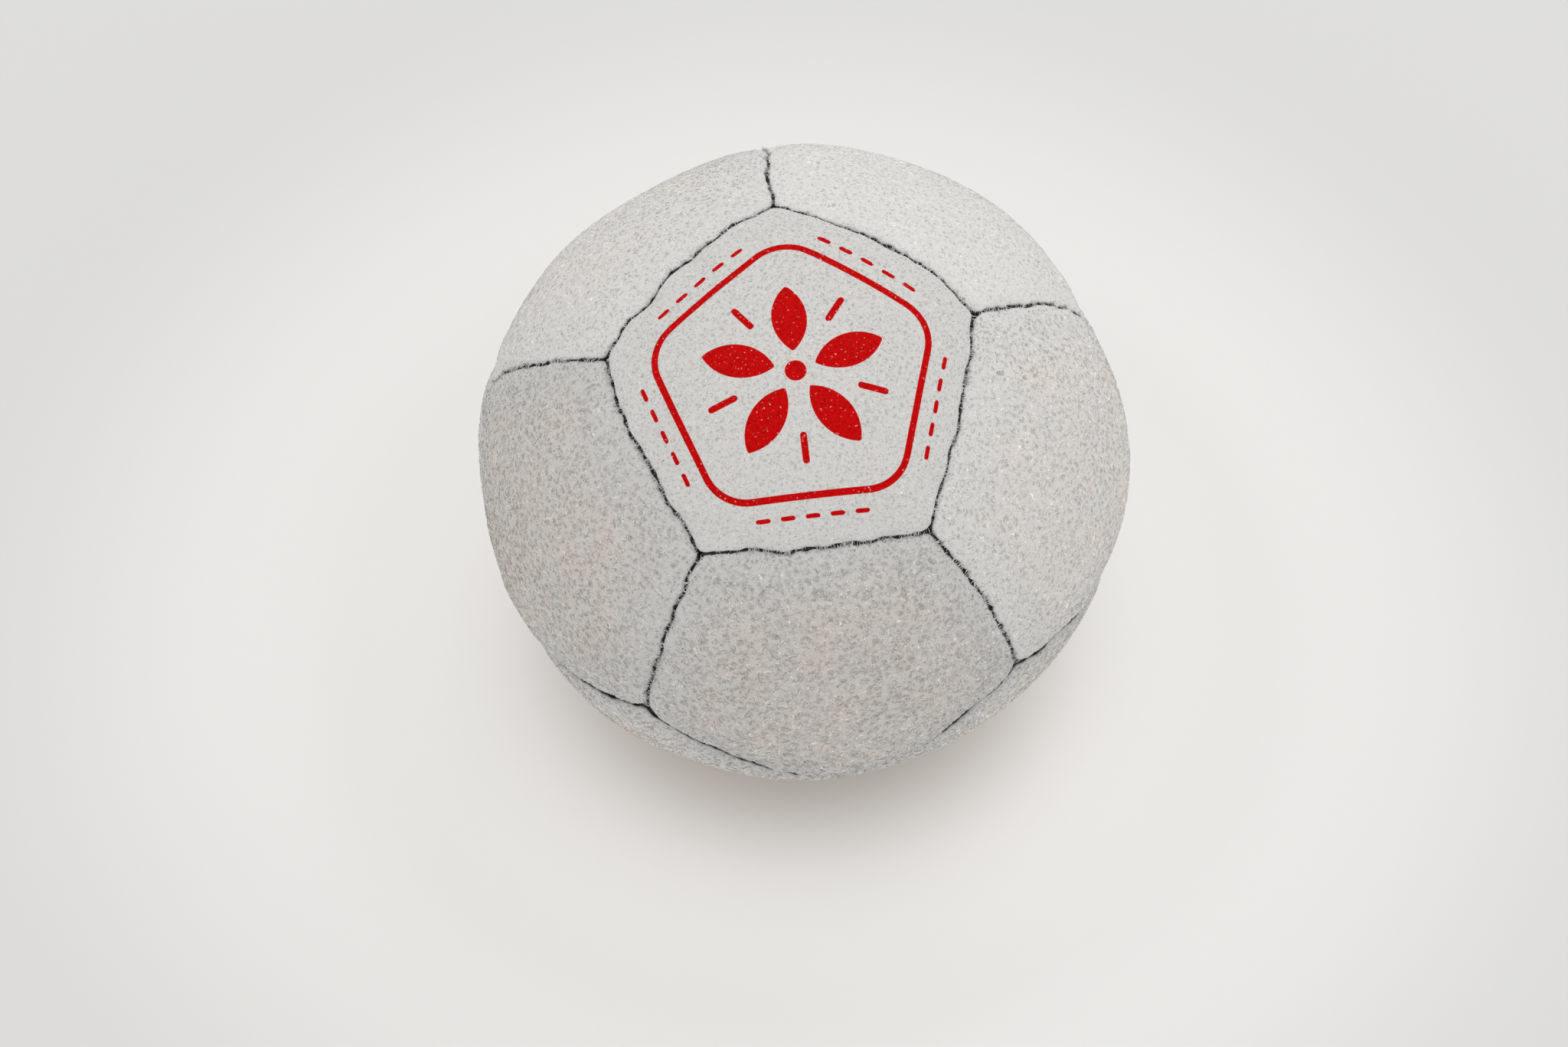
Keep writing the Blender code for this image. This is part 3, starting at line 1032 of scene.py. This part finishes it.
def bridge(root, tip, seam, across, sag, rng):
    """Carries tufts, and some loose fibres, over the seams that are shut, and says which fibres they are."""
    tufted = np.array([noise.noise(Vector(row) / BRIDGE_SPACING) for row in root]) > BRIDGE_LEVEL
    loose = rng.random(len(root)) < LOOSE_SHARE
    bridging = (seam < BRIDGE_ZONE_MM) & (tufted | loose) & (sag == 0)
    # Every fibre draws its values, used or not, so that later draws don't hang on how many fibres bridge.
    stray = rng.normal(0, BRIDGE_STRAY, root.shape)
    long = rng.uniform(*BRIDGE_LENGTH, len(root)) * np.where(tufted, 1.0, LOOSE_LENGTH)
    over = unit_rows(across + BRIDGE_LIFT * unit_rows(root - ball_centre) + stray) * long[:, None]
    tip[bridging] = (root + over)[bridging]
    return bridging


# %% Tones of the fibres
MEAN_TONE = 0.795
FIBRE_TONE = 0.16
TUFT_TONE = 0.13
BLOTCH_SIZE = 0.9 * MM
BLOTCH_TONE = 0.13
TONE_RANGE = (0.66, 1.3)
SPECK_SHARE, SPECK_TONE = 0.0006, 0.12
DARK_FUZZ_MM = 1.3
DARK_FUZZ_SHARE, DARK_FUZZ_TONE = 0.07, 0.4


def fibre_tones(root, seam, leader_of, rng):
    """The tone of each fibre: its own, its tuft's and its place's, with a few dark specks and dark fuzz."""
    count = len(root)
    blotch = np.array([noise.noise(Vector(row) / BLOTCH_SIZE) for row in root])
    tone = rng.normal(MEAN_TONE, FIBRE_TONE, count) + rng.normal(0, TUFT_TONE, count)[leader_of]
    tone = np.clip(tone + BLOTCH_TONE * blotch, *TONE_RANGE)
    tone[rng.random(count) < SPECK_SHARE] = SPECK_TONE
    tone[(seam < DARK_FUZZ_MM) & (rng.random(count) < DARK_FUZZ_SHARE)] = DARK_FUZZ_TONE
    return tone


# %% The nap of each panel
FIBRES = 31000
PRINT_FIBRES = 42000
FIBRE_WIDTH = 0.26 * MM
PRINT_FIBRE_WIDTH = 0.15 * MM
WIDTH_RANGE = (0.7, 1.3)
BRIDGE_WIDTH = 0.55
OFF_THE_FLOOR = 0.1 * MM
# Painted light along each strand: darker at the sunk root and lower tip corner as painted shade, much
# lighter at the upright tip corner as a painted highlight.
PAINTED_LIGHT_ALONG_FIBRE = np.array((0.84, 0.84, 0.8, 1.4))
UV_REACH = 0.48
UV_SPOT = 0.0022


def map_spots(mesh, local, loops):
    """Gives each fibre a small spot on a map of the panel, which its colour can be baked to."""
    reach = np.arccos(np.clip(local[:, 2], -1, 1)) / FACE_TO_CORNER * UV_REACH
    turn = np.arctan2(local[:, 1], local[:, 0])
    middle = 0.5 + np.column_stack((reach * np.cos(turn), reach * np.sin(turn)))
    spot = np.array([(math.cos(i * math.tau / 3), math.sin(i * math.tau / 3)) for i in range(3)] + [(0, 0)])
    places = middle + np.tile(spot * UV_SPOT, (len(local) // 4, 1))
    mesh.uv_layers.new(name="OFBake").uv.foreach_set("vector", places[loops].ravel().astype(np.float32))


def nap_for(name, panel, seed):
    """The nap of one panel as a piece of its own."""
    printed = name == "panel_print"
    cool, coarse = PANEL_LOOKS_AND_PAINTED_LIGHT[name][1:]
    rng = np.random.default_rng(seed)
    root, normal, seam, panel_tone = scatter(panel.data, PRINT_FIBRES if printed else FIBRES, rng)
    across, sag = beside_seam(name, root)
    tip, leader_of = comb(name, root, normal, seam, across, sag, rng)
    bridging = bridge(root, tip, seam, across, sag, rng)
    tip[:, 2] = np.maximum(tip[:, 2], OFF_THE_FLOOR)
    width = coarse * (PRINT_FIBRE_WIDTH if printed else FIBRE_WIDTH) * rng.uniform(*WIDTH_RANGE, len(root))
    width[bridging] *= BRIDGE_WIDTH
    mesh, loops = strands(f"nap_{name}", root, tip, normal, width)
    tone = fibre_tones(root, seam, leader_of, rng) * panel_tone
    local = ball_ways(read_points(mesh), name)
    store(mesh, "seam_mm", np.repeat(seam, 4))
    store(mesh, "tone", (tone[:, None] * PAINTED_LIGHT_ALONG_FIBRE).ravel())
    store(mesh, "cool", np.full(len(local), cool))
    if printed:
        store(mesh, "ink_mm", ink_distance(local) / MM)
    map_spots(mesh, local, loops)
    piece = bpy.data.objects.new(f"nap_{name}", mesh)
    bpy.context.collection.objects.link(piece)
    mesh.materials.append(nap_printed if printed else nap_plain)
    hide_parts(name)
    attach(piece, "root")
    return piece


naps = [nap_for(name, panel, seed) for seed, (name, panel) in enumerate(panels.items())]
print("nap pieces:", len(naps), "triangles:", sum(len(piece.data.polygons) for piece in naps))

# %% [markdown]
# ## The granulate
#
# The weight comes from plastic granules, small lens-shaped pellets cut from a strand. They are out of sight,
# but a part that is opened or shown in section should hold them, and not one solid lump. A small
# icosphere is flattened to a pellet. Thousands of them, each turned at random, stand on a close packing
# of spheres that fills the space inside the seam allowances, in twelve heaps, one behind each panel. Natural
# polyethylene is a milky, slightly waxy white.

# %% Granule material
GRANULE_WHITE = "#D9D3C6"
granulate, tree, shader = new_material("natural_polyethylene_granules")
shader.inputs["Base Color"].default_value = linear(GRANULE_WHITE)
shader.inputs["Roughness"].default_value = 0.45
print("granule material:", granulate.name)

# %% Twelve heaps of granules
GRANULE_RADIUS = 2.0 * MM
GRANULE_FLATNESS = 0.65
PACKING = 4.2 * MM
FILL_CLEARANCE = 2.3 * MM
FILL_RADIUS = BALL_RADIUS - LEATHER - SEAM_ALLOWANCE - FILL_CLEARANCE
LATTICE_STEPS = 10
GRANULE_SEED = 99
bpy.ops.object.select_all(action="DESELECT")
bpy.ops.mesh.primitive_ico_sphere_add(subdivisions=1, radius=GRANULE_RADIUS)
pellet = bpy.context.object
bpy.ops.transform.resize(value=(1, 1, GRANULE_FLATNESS))
bpy.ops.object.transform_apply(location=False, rotation=False, scale=True)
pellet_points = read_points(pellet.data)
pellet_faces = np.array([face.vertices[:] for face in pellet.data.polygons])
bpy.data.objects.remove(pellet)

steps = np.arange(-LATTICE_STEPS, LATTICE_STEPS + 1)
lattice = np.stack(np.meshgrid(steps, steps, steps), axis=-1).reshape(-1, 3)
close_packed = ((1, 0, 0), (0.5, math.sqrt(3) / 2, 0), (0.5, math.sqrt(3) / 6, math.sqrt(2 / 3)))
basis = PACKING * np.array(close_packed)
middles = (lattice + 0.5) @ basis
middles = middles[np.linalg.norm(middles, axis=1) < FILL_RADIUS]
behind = (middles @ np.array(list(axes.values())).T).argmax(axis=1)
rng = np.random.default_rng(GRANULE_SEED)
heaps = []
for number, name in enumerate(axes):
    mine = settle(middles[behind == number])
    spins = rng.normal(size=(len(mine), 2, 3))
    first = unit_rows(spins[:, 0])
    third = unit_rows(np.cross(first, spins[:, 1]))
    frames = np.stack((first, np.cross(third, first), third), axis=1)
    points = (pellet_points @ frames + mine[:, None]).reshape(-1, 3)
    faces = pellet_faces + np.arange(len(mine))[:, None, None] * len(pellet_points)
    mesh = bpy.data.meshes.new(f"granules_behind_{name}")
    mesh.from_pydata(points.tolist(), [], faces.reshape(-1, 3).tolist())
    mesh.shade_smooth()
    mesh.materials.append(granulate)
    heap = bpy.data.objects.new(mesh.name, mesh)
    bpy.context.collection.objects.link(heap)
    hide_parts("granule_fill")
    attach(heap, "root")
    heaps.append(heap)
print("granules:", len(middles), "in", len(heaps), "heaps")

# %% [markdown]
# ## The floor, the light and the camera
#
# The ball lies on a plain pale floor in soft light: a bright room all round, a large weak lamp overhead, and
# another behind on the right, so the shade gathers at the front and on the left. The floor is matt paper
# with
# light painted on it: a darker, warm painted shadow close round the ball, a palest ring beyond it, painted
# as a pool of light, and a greyer tone further out, painted as a lamp's light falling off. The camera looks
# down on the ball from the front, from far off with a long lens.

# %% Floor
# Painted light on the floor: a darker, warm painted shadow at 25 mm, a painted pool of light at 42 mm that
# lightens the ball's shadow, and painted falloff, greyer, beyond.
FLOOR_TONES_AND_PAINTED_LIGHT = {25: "#E6E1DD", 42: "#F8F7F6", 68: "#EBEBEA", 125: "#D9D9D8"}
FLOOR_REACH_MM = 150
FLOOR_SIZE = 6
bpy.ops.object.select_all(action="DESELECT")
bpy.ops.mesh.primitive_plane_add(size=FLOOR_SIZE)
floor = bpy.context.object
floor.name = "floor"
paper, tree, shader = new_material("matt_paper")
place = add_node(tree, "ShaderNodeTexCoord", {}, {}).outputs["Object"]
away = add_node(tree, "ShaderNodeVectorMath", {"operation": "LENGTH"}, {0: place}).outputs["Value"]
reach = add_node(
    tree, "ShaderNodeMath", {"operation": "DIVIDE"}, {0: away, 1: FLOOR_REACH_MM * MM}
).outputs[0]
ramp = add_node(tree, "ShaderNodeValToRGB", {}, {"Fac": reach})
ramp.color_ramp.interpolation = "EASE"
stops = ramp.color_ramp.elements
while len(stops) < len(FLOOR_TONES_AND_PAINTED_LIGHT):
    stops.new(0.5)
for stop, (millimetres, tone) in zip(stops, FLOOR_TONES_AND_PAINTED_LIGHT.items()):
    stop.position = millimetres / FLOOR_REACH_MM
    stop.color = linear(tone)
tree.links.new(ramp.outputs["Color"], shader.inputs["Base Color"])
shader.inputs["Roughness"].default_value = 1.0
shader.inputs["Specular IOR Level"].default_value = 0.0
floor.data.materials.append(paper)
print("floor tones at mm:", list(FLOOR_TONES_AND_PAINTED_LIGHT))

# %% Light
ROOM_LIGHT = 0.98
ROOM_TINT = "#FFFEFC"
LAMP_TINT = (0.95, 0.98, 1.0)
LAMP_SIZE = 0.8
LAMP_DISTANCE = 1.2
world = bpy.data.worlds.new("pale_room")
bpy.context.scene.world = world
world.use_nodes = True
room = world.node_tree.nodes["Background"]
room.inputs["Color"].default_value = linear(ROOM_TINT)
room.inputs["Strength"].default_value = ROOM_LIGHT


def add_lamp(name, watts, down, turn):
    """A large square lamp that shines on the ball from this far down from overhead and this far round."""
    bpy.ops.object.light_add(type="AREA")
    lamp = bpy.context.object
    lamp.name = name
    lamp.data.size = LAMP_SIZE
    lamp.data.energy = watts
    lamp.data.color = LAMP_TINT
    way = on_ball(math.radians(down), math.radians(turn))
    lamp.location = Vector(ball_centre) + way * LAMP_DISTANCE
    lamp.rotation_euler = way.to_track_quat("Z", "Y").to_euler()
    print("lamp:", name, "of", watts, "W")


add_lamp("overhead_lamp", 0.9, 16, -50)
add_lamp("back_lamp", 1.2, 60, 62)
print("room light:", ROOM_LIGHT)

# %% Camera
IMAGE_WIDTH, IMAGE_HEIGHT = 2048, 1367
BALL_PIXELS_WIDE = 845.2
BALL_PIXEL = (1048.8, 601.6)
ELEVATION = math.radians(55)
half_ball = BALL_RADIUS * WIDER
DISTANCE_IN_BALLS = 20
camera_distance = DISTANCE_IN_BALLS * half_ball
bpy.ops.object.camera_add()
camera = bpy.context.object
bpy.context.scene.camera = camera
camera.data.sensor_width = 36
focal_pixels = BALL_PIXELS_WIDE / 2 * math.sqrt((camera_distance / half_ball) ** 2 - 1)
camera.data.lens = focal_pixels / IMAGE_WIDTH * camera.data.sensor_width
backwards = Vector((0, -math.cos(ELEVATION), math.sin(ELEVATION)))
upwards = Vector((0, math.sin(ELEVATION), math.cos(ELEVATION)))
metres_per_pixel = camera_distance / focal_pixels
shift_right = (IMAGE_WIDTH / 2 - BALL_PIXEL[0]) * metres_per_pixel
shift_up = (BALL_PIXEL[1] - IMAGE_HEIGHT / 2) * metres_per_pixel
camera.location = Vector(ball_centre) + backwards * camera_distance + upwards * shift_up
camera.location.x += shift_right
camera.rotation_euler = backwards.to_track_quat("Z", "Y").to_euler()
camera.data.clip_start = 0.01
bpy.context.scene.view_settings.view_transform = "Standard"
print("lens in mm:", round(camera.data.lens), "camera distance in mm:", round(camera_distance / MM))
